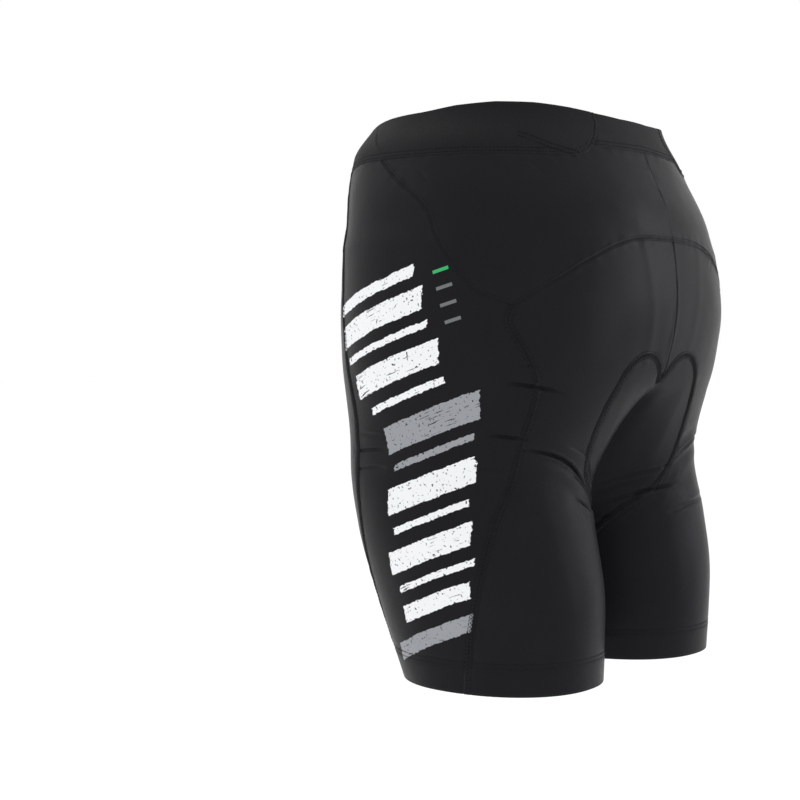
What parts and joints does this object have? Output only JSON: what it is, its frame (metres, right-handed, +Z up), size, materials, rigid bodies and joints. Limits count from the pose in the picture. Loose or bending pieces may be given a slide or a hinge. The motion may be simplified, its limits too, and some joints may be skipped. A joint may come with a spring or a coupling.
{
  "type": "cycling shorts",
  "caption": "Mid-thigh stretch cycling shorts in their worn form, with waistband, curved yoke and side panels, saddle gusset and seat pad.",
  "frame": {"origin": "centre of the waist opening, level with the edge of the waistband at the sides", "axes": "+Z up out of the waist opening, -Y is the front and +X the wearer's left"},
  "size_m": [0.3484, 0.2529, 0.4208],
  "materials": {
    "black_knit": "fine stretch knit with a soft sheen, near black",
    "side_knit": "fine stretch knit, near black; worn off-white and grey print on the left panel",
    "band_knit": "folded elastic knit, near black, slightly duller",
    "saddle_knit": "fine stretch knit, near black, double flatlock edges",
    "pad_foam": "brushed cloth over soft foam, dark grey, with sewn channels"
  },
  "bodies": {
    "root": {"waistband_front": "band_knit", "waistband_back": "band_knit", "yoke_left": "black_knit", "yoke_right": "black_knit", "side_left": "side_knit", "side_right": "side_knit", "front_left": "black_knit", "front_right": "black_knit", "back_left": "black_knit", "back_right": "black_knit", "saddle_gusset": "saddle_knit", "seat_pad": "pad_foam"}
  },
  "joints": []
}
